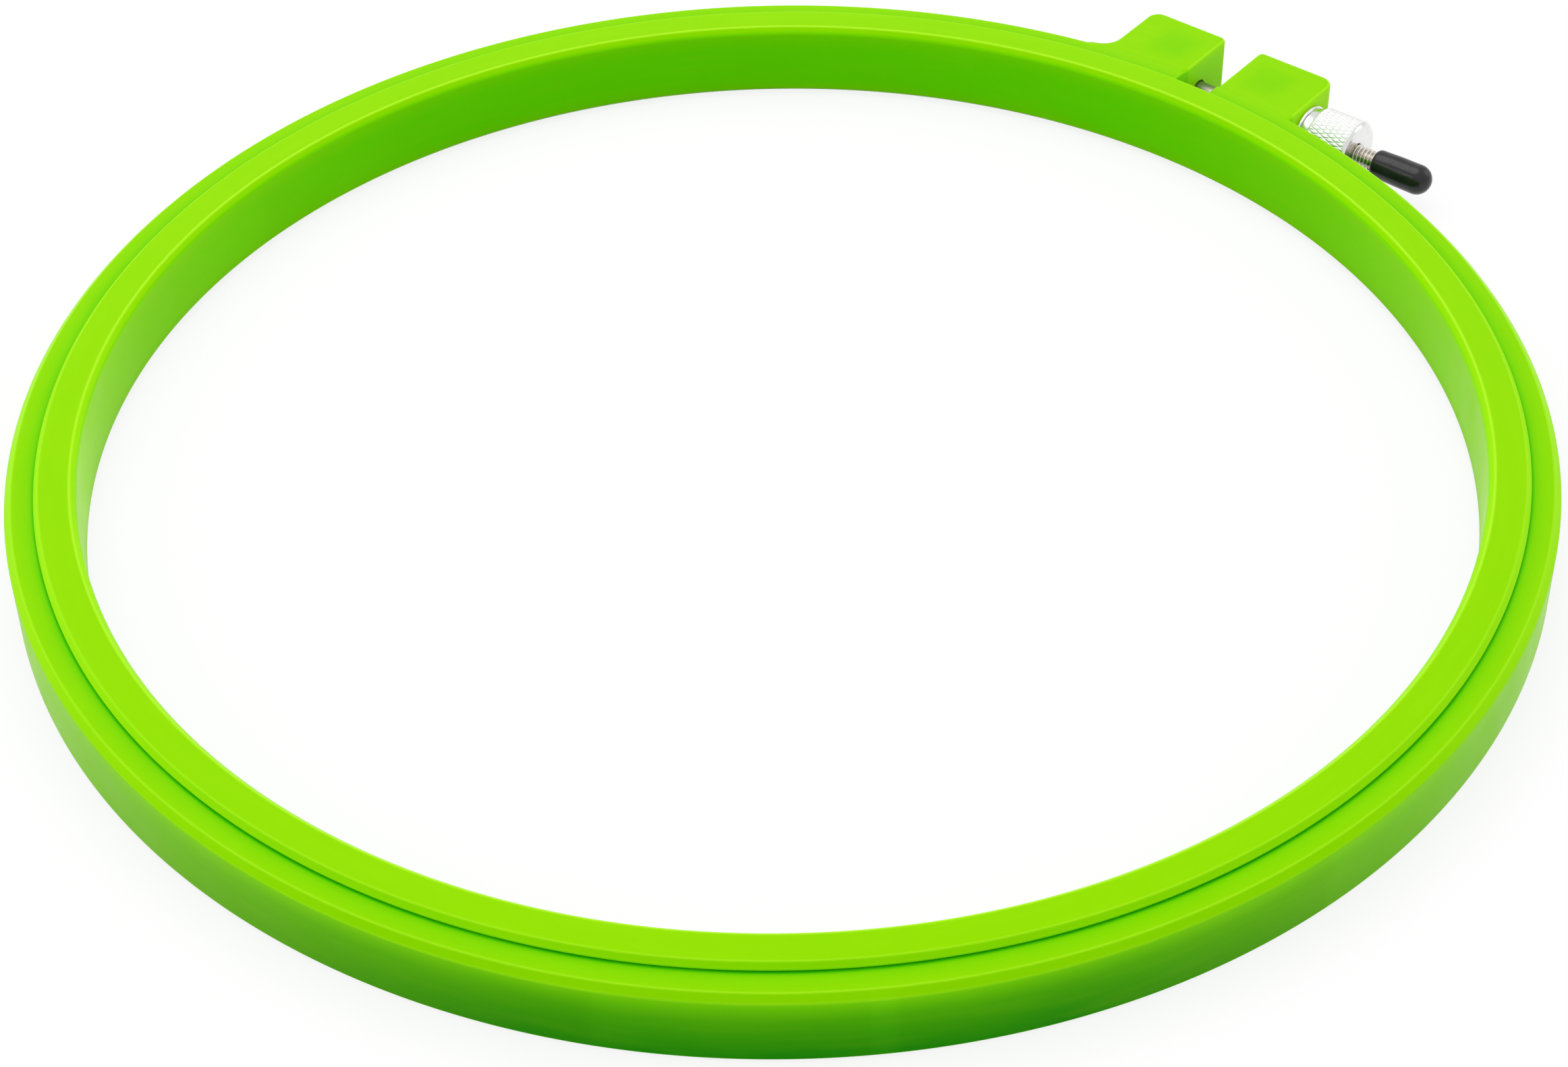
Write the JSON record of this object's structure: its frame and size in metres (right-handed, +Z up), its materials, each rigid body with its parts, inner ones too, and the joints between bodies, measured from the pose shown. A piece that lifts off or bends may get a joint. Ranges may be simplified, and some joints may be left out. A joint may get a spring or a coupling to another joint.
{
  "type": "embroidery hoop",
  "caption": "Plastic embroidery hoop: a lipped inner ring seats in a split outer ring, which a screw and knurled thumb nut draw tight to hold fabric taut.",
  "frame": {"origin": "on the hoop's axis, at half the height of the outer band", "axes": "+Z up along the hoop's axis, through the opening; +Y towards the split and its lugs; the clamp screw runs along X with the thumb nut on the +X side"},
  "size_m": [0.263, 0.2773, 0.0153],
  "materials": {
    "outer_plastic": "lime green polypropylene, slightly translucent, satin gloss",
    "inner_plastic": "lime green polypropylene, slightly translucent, satin gloss",
    "screw_metal": "nickel-plated steel",
    "washer_metal": "bright aluminium",
    "nut_metal": "bright turned and knurled aluminium",
    "cap_vinyl": "black dipped vinyl, glossy"
  },
  "bodies": {
    "outer_ring": {"outer_ring": "outer_plastic", "clamp_screw": "screw_metal", "end_cap": "cap_vinyl"},
    "inner_ring": {"inner_ring": "inner_plastic"},
    "washer": {"washer": "washer_metal"},
    "thumb_nut": {"thumb_nut": "nut_metal"}
  },
  "joints": [
    {"name": "inner_ring_lift", "type": "slide", "parent": "outer_ring", "child": "inner_ring", "axis": [0, 0, 1], "range_m": [0, 0.04]},
    {"name": "washer_travel", "type": "slide", "parent": "outer_ring", "child": "washer", "axis": [1, 0, 0], "range_m": [0, 0.00396]},
    {"name": "nut_spin", "type": "hinge", "parent": "washer", "child": "thumb_nut", "pos_m": [0, 0.1361, -0.00042], "axis": [1, 0, 0], "range_deg": [0, 1800]}
  ],
  "couplings": [
    {"joint": "nut_spin", "follows": "washer_travel", "rad_per_m": 7915.8}
  ]
}
